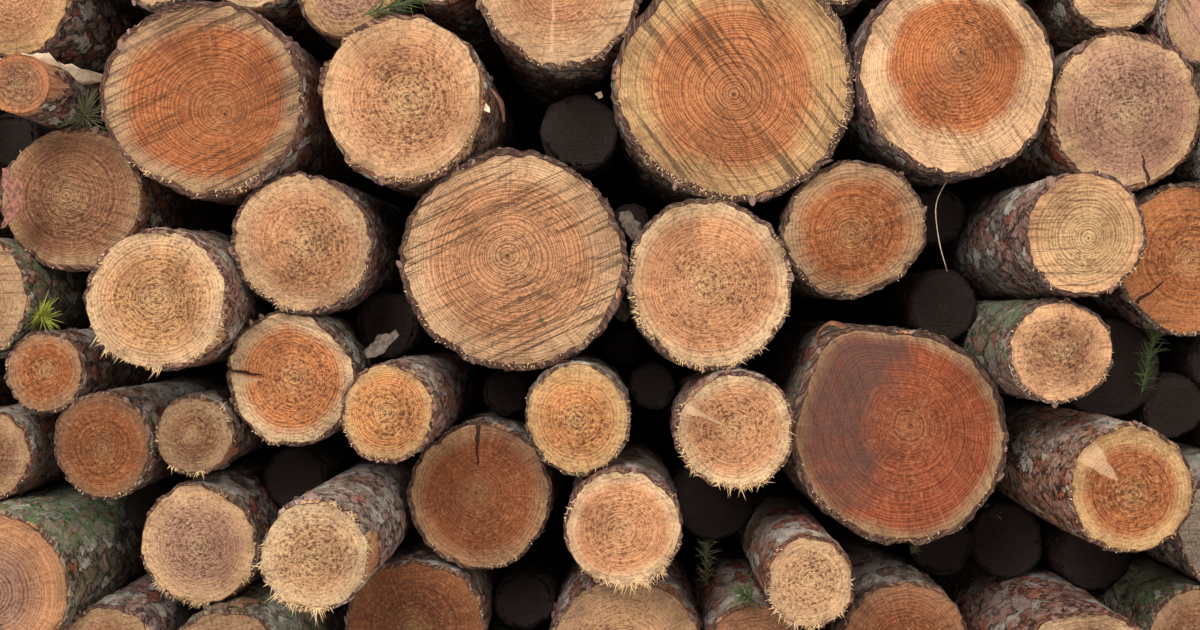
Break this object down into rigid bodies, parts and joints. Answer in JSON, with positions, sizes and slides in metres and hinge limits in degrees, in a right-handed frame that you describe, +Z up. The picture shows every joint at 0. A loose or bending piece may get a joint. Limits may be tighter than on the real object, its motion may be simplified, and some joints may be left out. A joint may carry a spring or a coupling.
{
  "type": "stack of logs",
  "caption": "Stack of softwood roundwood, mixed thick and thin logs with the bark on, sawn butt ends to the front, laid loose in rough courses on level ground.",
  "frame": {"origin": "on the ground under the middle of the stack", "axes": "+Z up; -Y points out of the sawn butt faces, towards whoever stands before the stack; +X to that viewer's right; the logs lie along Y"},
  "size_m": [3.027, 3.4587, 1.2394],
  "materials": {
    "roundwood": "sawn ends and rough bark"
  },
  "bodies": {
    "root": {"base_log_1": "roundwood", "base_log_2": "roundwood", "base_log_3": "roundwood", "base_log_4": "roundwood", "base_log_5": "roundwood", "base_log_6": "roundwood", "base_log_7": "roundwood", "base_log_8": "roundwood", "bed_logs": "roundwood", "inner_logs": "roundwood", "left_flank_logs": "roundwood", "lower_log_0": "roundwood", "lower_log_1": "roundwood", "lower_log_2": "roundwood", "lower_log_3": "roundwood", "lower_log_4": "roundwood", "lower_log_5": "roundwood", "lower_log_6": "roundwood", "middle_log_0": "roundwood", "middle_log_1": "roundwood", "middle_log_10": "roundwood", "middle_log_11": "roundwood", "middle_log_2": "roundwood", "middle_log_3": "roundwood", "middle_log_4": "roundwood", "middle_log_5": "roundwood", "middle_log_6": "roundwood", "middle_log_7": "roundwood", "middle_log_8": "roundwood", "middle_log_9": "roundwood", "ridge_logs": "roundwood", "right_flank_logs": "roundwood", "top_log_1": "roundwood", "top_log_10": "roundwood", "top_log_11": "roundwood", "top_log_2": "roundwood", "top_log_3": "roundwood", "top_log_4": "roundwood", "top_log_5": "roundwood", "top_log_6": "roundwood", "top_log_7": "roundwood", "top_log_8": "roundwood", "top_log_9": "roundwood", "upper_log_1": "roundwood", "upper_log_2": "roundwood", "upper_log_3": "roundwood", "upper_log_4": "roundwood", "upper_log_5": "roundwood", "upper_log_6": "roundwood", "upper_log_7": "roundwood", "upper_log_8": "roundwood"}
  },
  "joints": []
}
